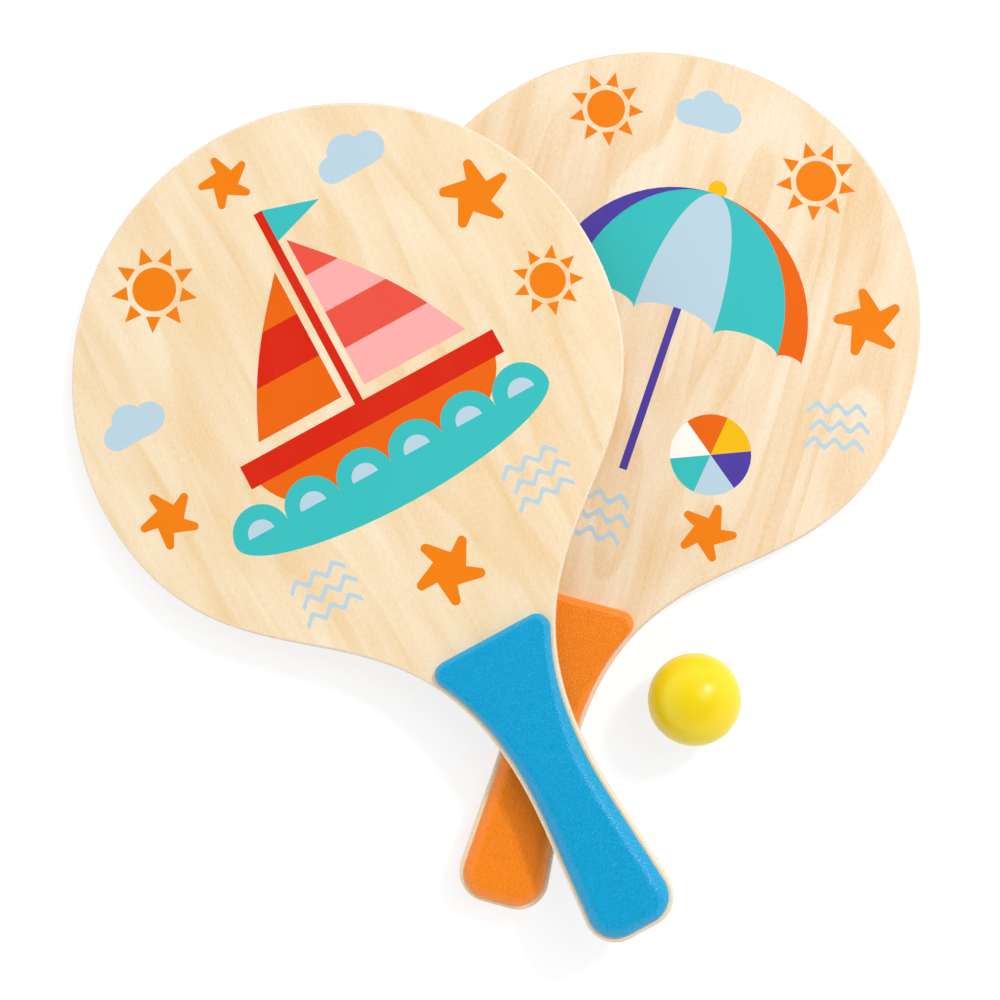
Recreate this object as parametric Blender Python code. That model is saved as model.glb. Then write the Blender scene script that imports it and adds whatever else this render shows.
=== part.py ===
"""Beach paddle ball set: two wooden paddles with soft grips, crossed at the handles, and a ball.

Metres, +Z up. The set lies on the ground as it was put down. The orange paddle lies lowest, on its
blade tip and its lower grip. The blue paddle leans over it, one side of its blade on the ground.
Each paddle is drawn in its own frame: the centre of the round blade at the origin, the middle of
the board at z = 0, the handle towards -Y and the printed face up. The origin of the set is the
middle of its outer box, on the ground.
"""
import math

import bmesh
import bpy
import numpy as np
from mathutils import Matrix, Vector
from mathutils.geometry import delaunay_2d_cdt

# Board: one piece of plywood, cut to shape and rounded along its edges
BLADE_RADIUS = 0.1207
BOARD_THICKNESS = 0.0060
BOARD_EDGE_RADIUS = 0.0012
WAIST_BELOW_BLADE = 0.0910
WAIST_WIDTH = 0.0335
HANDLE_END_BELOW_BLADE = 0.1475
HANDLE_END_WIDTH = 0.0424
HANDLE_CORNER_RADIUS = 0.0136

# Run of the side from the round blade to the waist: where it leaves the circle, and how far it
# holds each of its two end directions, as a share of the straight distance between them
SHOULDER_ANGLE = math.radians(10.1)
SHOULDER_FULLNESS = 0.412
WAIST_FULLNESS = 0.579

# Grip: a soft moulded pad on each face of the handle
GRIP_BELOW_BLADE = 0.0071
GRIP_THICKNESS = 0.0050
GRIP_EDGE_RADIUS = 0.0042
GRIP_SIDE_RIM = 0.0020
GRIP_END_RIM = 0.0016
GRIP_TOP_CORNER_RADIUS = 0.0060
GRIP_END_CORNER_RADIUS = 0.0122

BALL_DIAMETER = 0.0400

# Size of each paddle, seen flat on, as a share of the sizes above: the orange one is cut smaller
BLUE_PADDLE_SIZE = 1.000
ORANGE_PADDLE_SIZE = 0.978

# Room left between pieces that touch
CLEARANCE = 0.0003

# Places on the ground of the blade centres and the ball, and how far each handle swings from -Y
BLUE_PADDLE_AT = (-0.0641, 0.0512)
BLUE_PADDLE_TURN = math.radians(28.4)
ORANGE_PADDLE_AT = (0.0678, 0.0765)
ORANGE_PADDLE_TURN = math.radians(-14.85)
BALL_AT = (0.0860, -0.0873)

# Fineness of the faceted curves
BLADE_STEPS = 34
SIDE_STEPS = 14
CORNER_STEPS = 5
BOARD_EDGE_STEPS = 3
GRIP_EDGE_STEPS = 4
BALL_SUBDIVISIONS = 4

# Steps along the side while the place of a grip's corner is found
FINE_STEPS = 400

# Points closer than this are one point
WELD = 0.000002

# Spacing of the points that decide how a paddle rests, and how far past a rim they still count
REST_SPACING = 0.001
REST_SLACK = 0.0002

# Steepest slope tried while a paddle is laid down, and how many times the search narrows it
STEEPEST_SLOPE = 0.4
SEARCH_ROUNDS = 46

# Colours, as the eye reads them
BIRCH = "#F6E0BC"
WARM_BIRCH = "#F1D5A8"
BLUE_GRIP = "#1C9AD0"
ORANGE_GRIP = "#F47F20"
BALL_YELLOW = "#F2DA1A"
INKS = {
    "turquoise": "#3CC2C2",
    "red": "#DB2A1A",
    "coral": "#EF564C",
    "pink": "#FBB0B0",
    "deep_orange": "#EE6A00",
    "orange": "#F58A1F",
    "pale_blue": "#B8D9EC",
    "purple": "#4F3FA8",
    "yellow": "#FAC312",
    "white": "#FAF7F0",
}

WOOD_ROUGHNESS = 0.5
INK_ROUGHNESS = 0.45
GRIP_ROUGHNESS = 0.45
BALL_ROUGHNESS = 0.3

# Faces that meet more sharply than this are shaded with an edge between them
SHARP_ANGLE = math.radians(40)


def clear_scene():
    for old in list(bpy.data.objects):
        bpy.data.objects.remove(old, do_unlink=True)


def linear(hex_colour):
    """Linear red, green, blue and alpha of an sRGB hex colour."""
    channels = [int(hex_colour[i:i + 2], 16) / 255 for i in (1, 3, 5)]
    return [c / 12.92 if c <= 0.04045 else ((c + 0.055) / 1.055) ** 2.4 for c in channels] + [1.0]


def material(name, hex_colour, roughness):
    made = bpy.data.materials.new(name)
    made.use_nodes = True
    shader = made.node_tree.nodes["Principled BSDF"]
    shader.inputs["Base Color"].default_value = linear(hex_colour)
    shader.inputs["Roughness"].default_value = roughness
    shader.inputs["Metallic"].default_value = 0.0
    made.diffuse_color = linear(hex_colour)
    return made


# Outline of the board and of what follows it


def waist_y():
    return -(BLADE_RADIUS + WAIST_BELOW_BLADE)


def handle_end_y():
    return -(BLADE_RADIUS + HANDLE_END_BELOW_BLADE)


def flare_angle():
    """How much each side of the handle opens out from the waist to the end."""
    widening = (HANDLE_END_WIDTH - WAIST_WIDTH) / 2
    return math.atan2(widening, waist_y() - handle_end_y())


def arc_points(centre, radius, start, stop, steps):
    angles = np.linspace(start, stop, steps + 1)
    directions = np.column_stack([np.cos(angles), np.sin(angles)])
    return np.asarray(centre) + radius * directions, directions


def side_curve(steps):
    """Right side of the board from the round blade down to the waist, with its outward normals."""
    shoulder_out = np.array([math.cos(SHOULDER_ANGLE), -math.sin(SHOULDER_ANGLE)])
    start = BLADE_RADIUS * shoulder_out
    start_way = np.array([shoulder_out[1], -shoulder_out[0]])
    end = np.array([WAIST_WIDTH / 2, waist_y()])
    end_way = np.array([math.sin(flare_angle()), -math.cos(flare_angle())])
    span = np.linalg.norm(end - start)
    pulled_start = start + SHOULDER_FULLNESS * span * start_way
    pulled_end = end - WAIST_FULLNESS * span * end_way
    t = np.linspace(0, 1, steps + 1)[:, None]
    points = (1 - t) ** 3 * start + 3 * (1 - t) ** 2 * t * pulled_start
    points += 3 * (1 - t) * t ** 2 * pulled_end + t ** 3 * end
    ways = (1 - t) ** 2 * (pulled_start - start) + 2 * (1 - t) * t * (pulled_end - pulled_start)
    ways += t ** 2 * (end - pulled_end)
    ways /= np.linalg.norm(ways, axis=1)[:, None]
    return points, np.column_stack([-ways[:, 1], ways[:, 0]])


def handle_corner(side_rim, end_rim, radius):
    """Rounded corner at the handle's end, set in from the board's side and end by the two rims."""
    flare = flare_angle()
    y = handle_end_y() + end_rim + radius
    x = WAIST_WIDTH / 2 + (waist_y() - y) * math.tan(flare) - (side_rim + radius) / math.cos(flare)
    return arc_points((x, y), radius, flare, -math.pi / 2, CORNER_STEPS)


def closed_outline(half, half_normals):
    """Whole outline, counterclockwise, from its right half listed from the top to the bottom."""
    on_axis = half[:, 0] < WELD
    left = half[~on_axis] * [-1, 1]
    left_normals = half_normals[~on_axis] * [-1, 1]
    points = np.vstack([half[::-1], left])
    return points, np.vstack([half_normals[::-1], left_normals])


def board_half(size):
    blade, blade_out = arc_points((0, 0), BLADE_RADIUS, math.pi / 2, -SHOULDER_ANGLE, BLADE_STEPS)
    side, side_out = side_curve(SIDE_STEPS)
    corner, corner_out = handle_corner(0, 0, HANDLE_CORNER_RADIUS)
    blade[0, 0] = 0.0
    points = size * np.vstack([blade, side[1:], corner])
    return points, np.vstack([blade_out, side_out[1:], corner_out])


def grip_half(size):
    """Right half of a grip: straight top edge, rounded top corner, side rim, rounded end."""
    fine, fine_out = side_curve(FINE_STEPS)
    top_y = -(BLADE_RADIUS + GRIP_BELOW_BLADE)
    centres = fine - (GRIP_SIDE_RIM + GRIP_TOP_CORNER_RADIUS) * fine_out
    met = int(np.argmin(np.abs(centres[:, 1] - (top_y - GRIP_TOP_CORNER_RADIUS))))
    turn_to = math.atan2(fine_out[met, 1], fine_out[met, 0])
    centre = (centres[met, 0], top_y - GRIP_TOP_CORNER_RADIUS)
    top, top_out = arc_points(centre, GRIP_TOP_CORNER_RADIUS, math.pi / 2, turn_to, CORNER_STEPS)
    picked = np.linspace(met, FINE_STEPS, SIDE_STEPS).astype(int)[1:]
    side = fine[picked] - GRIP_SIDE_RIM * fine_out[picked]
    corner, corner_out = handle_corner(GRIP_SIDE_RIM, GRIP_END_RIM, GRIP_END_CORNER_RADIUS)
    points = size * np.vstack([top, side, corner])
    return points, np.vstack([top_out, fine_out[picked], corner_out])


# Solids


def edge_rings(radius, level, up, steps):
    """Inset and height of each ring over a rounded edge, from the flat face to the side."""
    angles = np.linspace(0, math.pi / 2, steps + 1)
    return [(radius * (1 - math.sin(a)), level - up * radius * (1 - math.cos(a))) for a in angles]


def stack_rings(mesh, outline, profile):
    """Rings of vertices up the profile, joined by faces; returns the lowest and highest ring."""
    points, normals = outline
    rings = []
    for inset, height in profile:
        flat = points - inset * normals
        rings.append([mesh.verts.new((x, y, height)) for x, y in flat])
    for low, high in zip(rings, rings[1:]):
        for i in range(len(low)):
            j = (i + 1) % len(low)
            mesh.faces.new((low[i], low[j], high[j], high[i]))
    return rings[0], rings[-1]


def counterclockwise(shape):
    points = np.asarray(shape)
    following = np.roll(points, -1, axis=0)
    swept = np.sum(points[:, 0] * following[:, 1] - following[:, 0] * points[:, 1])
    return points if swept > 0 else points[::-1]


def imprint(mesh, ring, fields, radius):
    """Flat top over the ring, cut along the printed fields; a later field covers an earlier one."""
    coords = [Vector((v.co.x, v.co.y)) for v in ring]
    faces = [list(range(len(ring)))]
    for _, shape in fields:
        faces.append(list(range(len(coords), len(coords) + len(shape))))
        coords += [radius * Vector(point) for point in counterclockwise(shape)]
    flat, _, cut, _, _, covered = delaunay_2d_cdt(coords, [], faces, 1, WELD)
    height = ring[0].co.z
    made = [mesh.verts.new((v.x, v.y, height)) for v in flat]
    for corners, over in zip(cut, covered):
        face = mesh.faces.new([made[c] for c in corners])
        face.material_index = fields[max(over) - 1][0] if max(over) > 0 else 0
    bmesh.ops.remove_doubles(mesh, verts=mesh.verts[:], dist=WELD)


def finish_mesh(name, mesh, materials):
    bmesh.ops.recalc_face_normals(mesh, faces=mesh.faces[:])
    data = bpy.data.meshes.new(name)
    mesh.to_mesh(data)
    mesh.free()
    for one in materials:
        data.materials.append(one)
    data.shade_smooth()
    data.set_sharp_from_angle(angle=SHARP_ANGLE)
    made = bpy.data.objects.new(name, data)
    bpy.context.scene.collection.objects.link(made)
    return made


def board(name, size, wood, artwork, inks):
    """Plywood board with its print laid in the top face, one material slot for each ink."""
    used = sorted({ink for ink, _ in artwork})
    fields = [(used.index(ink) + 1, shape) for ink, shape in artwork]
    half_thick = BOARD_THICKNESS / 2
    profile = edge_rings(BOARD_EDGE_RADIUS, -half_thick, -1, BOARD_EDGE_STEPS)
    profile += edge_rings(BOARD_EDGE_RADIUS, half_thick, 1, BOARD_EDGE_STEPS)[::-1]
    mesh = bmesh.new()
    lowest, highest = stack_rings(mesh, closed_outline(*board_half(size)), profile)
    mesh.faces.new(lowest[::-1])
    imprint(mesh, highest, fields, size * BLADE_RADIUS)
    return finish_mesh(name, mesh, [wood] + [inks[ink] for ink in used])


def grip(name, size, colour_material):
    """Soft pad: flat where it is glued on, rounded along its upper edge."""
    bottom = BOARD_THICKNESS / 2 + CLEARANCE
    profile = [(0, bottom)]
    profile += edge_rings(GRIP_EDGE_RADIUS, bottom + GRIP_THICKNESS, 1, GRIP_EDGE_STEPS)[::-1]
    mesh = bmesh.new()
    lowest, highest = stack_rings(mesh, closed_outline(*grip_half(size)), profile)
    mesh.faces.new(lowest[::-1])
    mesh.faces.new(highest)
    return finish_mesh(name, mesh, [colour_material])


def ball():
    """Smooth ball, its lowest point on the ground."""
    mesh = bmesh.new()
    bmesh.ops.create_icosphere(mesh, subdivisions=BALL_SUBDIVISIONS, radius=BALL_DIAMETER / 2)
    made = finish_mesh("ball", mesh, [material("yellow_ball", BALL_YELLOW, BALL_ROUGHNESS)])
    made.location = (*BALL_AT, BALL_DIAMETER / 2)
    return made


# Artwork, in shares of the blade's radius: each field is an ink and an outline


def placed(shape, at, size=1.0, turn=0.0):
    """Copy of a shape, sized, turned by degrees and moved."""
    angle = math.radians(turn)
    spin = np.array([[math.cos(angle), math.sin(angle)], [-math.sin(angle), math.cos(angle)]])
    return np.asarray(at) + size * (np.asarray(shape) @ spin)


def curve(start, stop, steps):
    """Points on the unit circle between two angles in degrees."""
    return arc_points((0, 0), 1, math.radians(start), math.radians(stop), steps)[0]


def disc(steps=20):
    return curve(0, 360, steps)[:-1]


def box(left, bottom, right, top):
    return np.array([(left, bottom), (right, bottom), (right, top), (left, top)])


def starfish():
    """Five arms with round tips, broad where they meet."""
    arm = [(0.28, -0.39)] + [(0.86 + 0.14 * x, 0.14 * y) for x, y in curve(-70, 70, 4)]
    return np.vstack([placed(arm, (0, 0), 1, 90 + 72 * i) for i in range(5)])


def wave():
    """Wavy band three crests long."""
    half_width = 0.09
    along = np.linspace(-1, 1, 28)
    swell = 0.13 * np.cos(3 * math.pi * along)
    lower = np.column_stack([along, swell - half_width])
    upper = np.column_stack([along, swell + half_width])
    return np.vstack([lower, upper[::-1]])


def little_sun(at, size, turn):
    ray = [(0.62, -0.17), (1.0, 0), (0.62, 0.17)]
    shapes = [placed(disc(), (0, 0), 0.5)] + [placed(ray, (0, 0), 1, 40 * i) for i in range(9)]
    return [("orange", placed(shape, at, size, turn)) for shape in shapes]


def little_starfish(at, size, turn):
    return [("orange", placed(starfish(), at, size, turn))]


def little_waves(at, size, turn):
    rows = [placed(wave(), (0.12 * (i % 2), 0.5 * (i - 1)), 0.85) for i in range(3)]
    return [("pale_blue", placed(row, at, size, turn)) for row in rows]


def little_cloud(at, size, turn):
    puffs = ((-0.58, -0.08, 0.34), (-0.12, 0.16, 0.44), (0.42, 0.0, 0.40))
    shapes = [placed(disc(), (x, y), radius) for x, y, radius in puffs]
    shapes.append(box(-0.60, -0.41, 0.44, 0.05))
    return [("pale_blue", placed(shape, at, size, turn)) for shape in shapes]


def striped_sail(tack, clew, head, inks):
    """Sail cut into level stripes from its foot up, full along the edge away from the mast."""
    tack, clew, head = (np.asarray(corner) for corner in (tack, clew, head))
    fullness = 0.10
    fields = []
    for i, ink in enumerate(inks):
        shares = np.linspace(i, i + 1, 5) / len(inks)
        mast_side = [tack + share * (head - tack) for share in shares[::4]]
        bellies = [fullness * math.sin(math.pi * share) * (clew - tack) for share in shares]
        free_side = [clew + share * (head - clew) + out for share, out in zip(shares, bellies)]
        fields.append((ink, np.array([mast_side[0]] + free_side + mast_side[1:])))
    return fields


def sailing_boat():
    """Boat with two striped sails behind a row of scalloped waves."""
    fields = [("deep_orange", curve(180, 360, 16) * [0.53, 0.32] + [0.03, -0.19])]
    fields.append(("red", box(-0.53, -0.25, 0.59, -0.15)))
    fields.append(("red", box(-0.018, -0.15, 0.018, 0.70)))
    fields.append(("turquoise", [(0.018, 0.56), (0.24, 0.63), (0.018, 0.70)]))
    fields += striped_sail(
        (0.05, -0.10), (0.50, -0.10), (0.05, 0.55), ("pink", "coral", "pink", "coral"))
    fields += striped_sail(
        (-0.05, -0.10), (-0.42, -0.10), (-0.05, 0.46), ("deep_orange", "red", "deep_orange"))
    fields.append(("turquoise", curve(180, 360, 12) * [0.69, 0.17] + [0, -0.42]))
    crests = [(0.23 * i, -0.42) for i in (-2.5, -1.5, -0.5, 0.5, 1.5, 2.5)]
    fields += [("turquoise", placed(curve(0, 180, 10), crest, 0.115)) for crest in crests]
    fields += [("pale_blue", placed(curve(0, 180, 8), crest, 0.055)) for crest in crests]
    return [(ink, placed(shape, (0, 0.04), 0.92)) for ink, shape in fields]


def gore(left, right):
    """Panel of a domed sunshade between two seams, with a hem that arches up between them."""
    seam = curve(0, 90, 10)
    half_width = (right - left) / 2
    hem = curve(180, 0, 6)[1:-1] * [half_width, 0.35 * half_width] + [(left + right) / 2, 0]
    return np.vstack([seam * [right, 1], seam[-2::-1] * [left, 1], hem])


def parasol():
    """Open sunshade with five gores on a straight pole."""
    inks = ("purple", "turquoise", "pale_blue", "turquoise", "deep_orange")
    fields = [("purple", box(-0.03, -1.15, 0.03, 0.5)), ("yellow", placed(disc(12), (0, 1.03), 0.07))]
    edges = np.cos(np.linspace(math.pi, 0, len(inks) + 1))
    fields += [(ink, gore(left, right)) for ink, left, right in zip(inks, edges, edges[1:])]
    return [(ink, placed(shape, (0.08, 0.02), 0.50, -4)) for ink, shape in fields]


def beach_ball(at, size):
    """Small round ball in six slices."""
    inks = ("yellow", "deep_orange", "white", "turquoise", "pale_blue", "purple")
    slices = [np.vstack([[(0, 0)], curve(60 * i, 60 * i + 60, 6)]) for i in range(6)]
    return [(ink, placed(part, at, size, 20)) for ink, part in zip(inks, slices)]


def blue_paddle_artwork():
    fields = sailing_boat()
    fields += little_sun((-0.46, 0.62), 0.16, 0)
    fields += little_starfish((-0.05, 0.84), 0.10, 0)
    fields += little_cloud((0.40, 0.70), 0.15, 0)
    fields += little_starfish((0.72, 0.36), 0.13, -15)
    fields += little_sun((0.80, -0.04), 0.13, 15)
    fields += little_waves((0.43, -0.64), 0.13, 0)
    fields += little_starfish((0.0, -0.78), 0.13, 20)
    fields += little_waves((-0.43, -0.64), 0.13, 0)
    fields += little_starfish((-0.80, -0.14), 0.11, 10)
    fields += little_cloud((-0.75, 0.22), 0.14, 0)
    return fields


def orange_paddle_artwork():
    fields = parasol()
    fields += beach_ball((0.34, -0.42), 0.15)
    fields += little_sun((-0.36, 0.72), 0.14, 10)
    fields += little_cloud((0.02, 0.80), 0.14, 0)
    fields += little_sun((0.46, 0.66), 0.15, 0)
    fields += little_starfish((0.78, 0.20), 0.13, 25)
    fields += little_waves((0.76, -0.20), 0.13, 10)
    fields += little_starfish((0.40, -0.70), 0.11, -10)
    fields += little_waves((-0.02, -0.74), 0.14, 0)
    fields += little_starfish((-0.60, -0.42), 0.13, 10)
    fields += little_cloud((-0.72, 0.24), 0.15, 0)
    return fields


# Rest: how the paddles lie on the ground and on each other


def flat_layers(size):
    """Flat outline and reach from the board's middle of the board's face and of the grip's face."""
    grip_reach = BOARD_THICKNESS / 2 + CLEARANCE + GRIP_THICKNESS
    layers = []
    for half, inset, reach in (
        (board_half(size), BOARD_EDGE_RADIUS, BOARD_THICKNESS / 2),
        (grip_half(size), GRIP_EDGE_RADIUS, grip_reach),
    ):
        layers.append((half[0] - inset * half[1], reach))
    return layers


def reach_at(points, size):
    """How far a paddle reaches from its middle plane at points in its own frame; 0 beside it."""
    reaches = np.zeros(len(points))
    for half, reach in flat_layers(size):
        down = -half[:, 1]
        width = np.interp(-points[:, 1], down, half[:, 0])
        level = (-points[:, 1] > down[0] - REST_SLACK) & (-points[:, 1] < down[-1] + REST_SLACK)
        reaches[level & (np.abs(points[:, 0]) < width + REST_SLACK)] = reach
    return reaches


def rim_points(size):
    """Closely spaced points along the rim of each flat face, in the paddle's frame."""
    found = []
    for half, _ in flat_layers(size):
        loop = np.vstack([half, half[::-1] * [-1, 1]])
        for a, b in zip(loop, np.roll(loop, -1, axis=0)):
            count = max(1, round(np.linalg.norm(b - a) / REST_SPACING))
            found.append(a + (b - a) * np.arange(count)[:, None] / count)
    return np.vstack(found)


def to_ground(points, at, turn):
    spin = np.array([[math.cos(turn), math.sin(turn)], [-math.sin(turn), math.cos(turn)]])
    return points @ spin + at


def to_paddle(points, at, turn):
    return to_ground(points - at, (0, 0), -turn)


def least(cost):
    """Slope at which a cost with one valley is least."""
    low, high = -STEEPEST_SLOPE, STEEPEST_SLOPE
    for _ in range(SEARCH_ROUNDS):
        left, right = low + (high - low) / 3, high - (high - low) / 3
        if cost(left) < cost(right):
            high = right
        else:
            low = left
    return (low + high) / 2


def settle(points, heights, weight_at):
    """Plane z = a + b x + c y that clears all heights and lies lowest under the weight."""
    def sag(b, c):
        return np.max(heights - points @ (b, c)) + weight_at @ (b, c)

    def best_c(b):
        return least(lambda c: sag(b, c))

    b = least(lambda b: sag(b, best_c(b)))
    c = best_c(b)
    return np.max(heights - points @ (b, c)), b, c


def weight_centre(at, turn, size):
    """Place of the board's centre of area on the ground."""
    points, _ = closed_outline(*board_half(size))
    following = np.roll(points, -1, axis=0)
    cross = points[:, 0] * following[:, 1] - following[:, 0] * points[:, 1]
    centre = ((points + following) * cross[:, None]).sum(axis=0) / (3 * cross.sum())
    return to_ground(centre[None], at, turn)[0]


def plane_height(plane, points):
    return plane[0] + points @ plane[1:]


def rest_on_ground(at, turn, size):
    rim = rim_points(size)
    return settle(to_ground(rim, at, turn), reach_at(rim, size), weight_centre(at, turn, size))


def rest_on_paddle(place, under_place, under_plane):
    """Plane of a paddle that lies partly on the ground and partly on another paddle."""
    at, turn, size = place
    under_at, under_turn, under_size = under_place
    points = np.vstack([
        to_ground(rim_points(size), at, turn),
        to_ground(rim_points(under_size), under_at, under_turn),
    ])
    own = reach_at(to_paddle(points, at, turn), size)
    under = reach_at(to_paddle(points, under_at, under_turn), under_size)
    support = plane_height(np.asarray(under_plane), points) + under + CLEARANCE
    heights = own + np.where(under > 0, support, 0)
    return settle(points[own > 0], heights[own > 0], weight_centre(at, turn, size))


def paddle_frame(name, place, plane):
    """Empty that carries a paddle, tilted to the plane it rests in."""
    at, turn, _ = place
    up = Vector((-plane[1], -plane[2], 1)).normalized()
    ahead = Vector((-math.sin(turn), math.cos(turn), 0))
    ahead.z = ahead.x * plane[1] + ahead.y * plane[2]
    ahead.normalize()
    turned = Matrix((ahead.cross(up), ahead, up)).transposed().to_4x4()
    height = plane_height(np.asarray(plane), np.asarray(at))
    frame = bpy.data.objects.new(name, None)
    bpy.context.scene.collection.objects.link(frame)
    frame.matrix_world = Matrix.Translation((*at, height)) @ turned
    return frame


def paddle(name, frame, size, wood, grip_material, artwork, inks):
    """Board and its two grips, the lower one turned over about the handle."""
    pieces = [board(f"{name}_board", size, wood, artwork, inks)]
    pieces.append(grip(f"{name}_top_grip", size, grip_material))
    pieces.append(grip(f"{name}_bottom_grip", size, grip_material))
    pieces[-1].rotation_euler = (0, math.pi, 0)
    for piece in pieces:
        piece.parent = frame


def centre_on_origin(carriers):
    """Moves the set so that the middle of its outer box is over the origin."""
    bpy.context.view_layer.update()
    solids = [thing for thing in bpy.data.objects if thing.type == "MESH"]
    corners = [thing.matrix_world @ v.co for thing in solids for v in thing.data.vertices]
    xs = [corner.x for corner in corners]
    ys = [corner.y for corner in corners]
    shift = Vector((-(min(xs) + max(xs)) / 2, -(min(ys) + max(ys)) / 2, 0))
    for carrier in carriers:
        carrier.location += shift


def build_set():
    clear_scene()
    blue_place = (BLUE_PADDLE_AT, BLUE_PADDLE_TURN, BLUE_PADDLE_SIZE)
    orange_place = (ORANGE_PADDLE_AT, ORANGE_PADDLE_TURN, ORANGE_PADDLE_SIZE)
    orange_plane = rest_on_ground(*orange_place)
    blue_plane = rest_on_paddle(blue_place, orange_place, orange_plane)
    blue = paddle_frame("blue_paddle", blue_place, blue_plane)
    orange = paddle_frame("orange_paddle", orange_place, orange_plane)
    inks = {name: material(f"{name}_ink", shade, INK_ROUGHNESS) for name, shade in INKS.items()}
    paddle("blue_paddle", blue, BLUE_PADDLE_SIZE,
           material("birch_plywood", BIRCH, WOOD_ROUGHNESS),
           material("blue_grip", BLUE_GRIP, GRIP_ROUGHNESS), blue_paddle_artwork(), inks)
    paddle("orange_paddle", orange, ORANGE_PADDLE_SIZE,
           material("warm_birch_plywood", WARM_BIRCH, WOOD_ROUGHNESS),
           material("orange_grip", ORANGE_GRIP, GRIP_ROUGHNESS), orange_paddle_artwork(), inks)
    centre_on_origin([blue, orange, ball()])


build_set()
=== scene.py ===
"""Looks of the beach paddle ball set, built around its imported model.

Metres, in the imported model's own frame. A paddle is drawn in a frame of its own and then laid in its place:
the centre of the round blade at the origin, the middle of the board at z = 0, the handle towards -Y and the
printed face up.
"""

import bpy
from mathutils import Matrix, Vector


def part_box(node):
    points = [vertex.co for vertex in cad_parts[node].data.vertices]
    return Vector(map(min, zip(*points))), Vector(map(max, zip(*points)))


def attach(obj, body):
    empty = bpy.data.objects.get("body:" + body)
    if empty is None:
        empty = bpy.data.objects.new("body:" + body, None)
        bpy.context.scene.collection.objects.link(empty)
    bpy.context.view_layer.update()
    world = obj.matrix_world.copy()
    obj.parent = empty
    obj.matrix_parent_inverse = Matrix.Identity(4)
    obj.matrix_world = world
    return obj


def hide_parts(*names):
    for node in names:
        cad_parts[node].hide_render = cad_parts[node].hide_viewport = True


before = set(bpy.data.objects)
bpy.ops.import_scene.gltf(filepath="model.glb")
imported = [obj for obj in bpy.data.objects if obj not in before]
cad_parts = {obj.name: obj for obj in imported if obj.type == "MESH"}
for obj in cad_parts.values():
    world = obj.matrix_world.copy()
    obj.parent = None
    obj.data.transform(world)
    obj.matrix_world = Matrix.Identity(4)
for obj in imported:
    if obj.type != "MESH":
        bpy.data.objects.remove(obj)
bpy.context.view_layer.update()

import math

import bmesh
import bpy
import numpy as np
from mathutils import Matrix, Vector
from mathutils.geometry import delaunay_2d_cdt


# Paddles as they lie
# Two paddles of one pattern, the orange one cut a little smaller, put down crossed. The place and the lean
# of each are found from its board: the printed face gives the way up, the length of the board the way
# along, the blade's tip the centre.

BLADE_RADIUS = 0.1207

# Rise of the normal from which a face counts as looking up, and decimals that tell corners apart
LOOKS_UP = 0.9
CORNER_DECIMALS = 7

# Size of each paddle, seen flat on, as a share of the sizes given for the pattern
SIZES = {"blue_paddle": 1.000, "orange_paddle": 0.978}


def own_frame(paddle):
    """Frame of a paddle: across, along and up, and the centre of its blade."""
    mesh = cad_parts[f"{paddle}_board"].data
    corners = np.unique(np.round([v.co for v in mesh.vertices], CORNER_DECIMALS), axis=0)
    face = max((f for f in mesh.polygons if f.normal.z > LOOKS_UP), key=lambda f: f.area)
    up = np.array(face.normal)
    spread = corners - corners.mean(axis=0)
    along = np.linalg.eigh(spread.T @ spread)[1][:, -1]
    along -= (along @ up) * up
    along *= math.copysign(1 / np.linalg.norm(along), along[1])
    across = np.cross(along, up)
    middle = [(np.max(corners @ way) + np.min(corners @ way)) / 2 for way in (across, along, up)]
    middle[1] = np.max(corners @ along) - SIZES[paddle] * BLADE_RADIUS
    centre = middle[0] * across + middle[1] * along + middle[2] * up
    axes = Matrix((across, along, up)).transposed().to_4x4()
    return Matrix.Translation(centre) @ axes


PADDLES = {name: own_frame(name) for name in SIZES}


# Boards
# Each is one piece of 6 mm plywood, five rotary-cut birch veneers glued crosswise. It is cut to shape, its
# edges are rounded over and sanded, and one face is printed. The grips are glued on its handle.

BOARD_THICKNESS = 0.0060
EDGE_RADIUS = 0.0012
EDGE_SEGMENTS = 6
WAIST_Y = -0.2117
WAIST_WIDTH = 0.0335
HANDLE_END_Y = -0.2682
HANDLE_END_WIDTH = 0.0424
HANDLE_CORNER_RADIUS = 0.0136
SHOULDER_ANGLE = math.radians(10.1)
SHOULDER_FULLNESS = 0.412
WAIST_FULLNESS = 0.579
FLARE = math.atan2((HANDLE_END_WIDTH - WAIST_WIDTH) / 2, WAIST_Y - HANDLE_END_Y)
BLADE_STEPS = 80
SIDE_STEPS = 60
CORNER_STEPS = 12

# Points closer than this are one point
WELD = 0.000002


def arc(centre, radius, start, stop, steps):
    angles = np.linspace(start, stop, steps + 1)
    return np.asarray(centre) + radius * np.column_stack([np.cos(angles), np.sin(angles)])


def side_curve(steps):
    """Right side of a board from the round blade down to the waist, with its outward normals."""
    out = np.array([math.cos(SHOULDER_ANGLE), -math.sin(SHOULDER_ANGLE)])
    start, end = BLADE_RADIUS * out, np.array([WAIST_WIDTH / 2, WAIST_Y])
    span = np.linalg.norm(end - start)
    first = start + SHOULDER_FULLNESS * span * np.array([out[1], -out[0]])
    last = end - WAIST_FULLNESS * span * np.array([math.sin(FLARE), -math.cos(FLARE)])
    t = np.linspace(0, 1, steps + 1)[:, None]
    points = ((1 - t) ** 3 * start + 3 * (1 - t) ** 2 * t * first
              + 3 * (1 - t) * t ** 2 * last + t ** 3 * end)
    ways = (1 - t) ** 2 * (first - start) + 2 * (1 - t) * t * (last - first) + t ** 2 * (end - last)
    ways /= np.linalg.norm(ways, axis=1)[:, None]
    return points, np.column_stack([-ways[:, 1], ways[:, 0]])


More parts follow.
